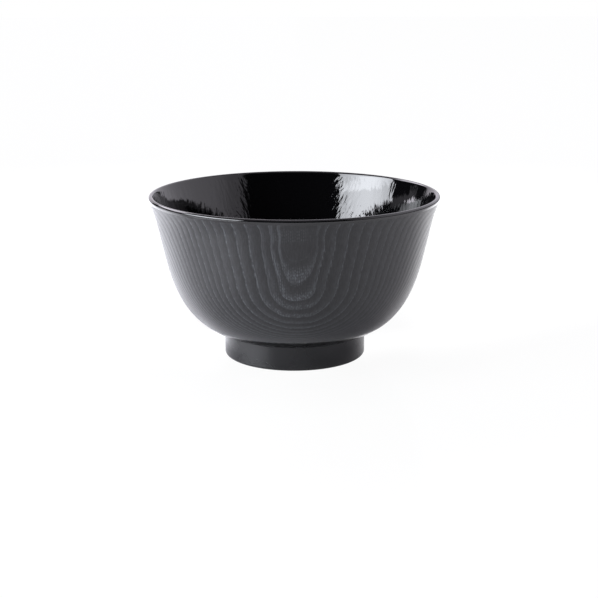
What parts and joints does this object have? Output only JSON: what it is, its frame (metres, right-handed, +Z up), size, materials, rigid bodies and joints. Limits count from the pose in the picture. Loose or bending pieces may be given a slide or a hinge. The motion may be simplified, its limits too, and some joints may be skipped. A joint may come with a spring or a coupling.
{
  "type": "lacquer soup bowl",
  "caption": "Footed soup bowl with a flared lip, gloss black inside, satin black open-grain wall outside and a smooth satin foot ring.",
  "frame": {"origin": "centre of the foot ring, on the plane it stands on", "axes": "+Z up along the turning axis; the picture is taken from the -Y side, so +X is to its right"},
  "size_m": [0.12, 0.12, 0.068],
  "materials": {
    "core_wood": "turned and sanded wood, hidden under the coats",
    "ground_coat": "thin matt black ground coat, hidden under the finish",
    "gloss_lacquer": "gloss black lacquer with faint grain relief",
    "grain_lacquer": "satin black lacquer over open wood grain",
    "satin_lacquer": "smooth satin black lacquer"
  },
  "bodies": {
    "root": {"bowl_core": "core_wood", "undercoat": "ground_coat", "inner_lacquer": "gloss_lacquer", "wall_lacquer": "grain_lacquer", "foot_lacquer": "satin_lacquer", "recess_lacquer": "satin_lacquer"}
  },
  "joints": []
}
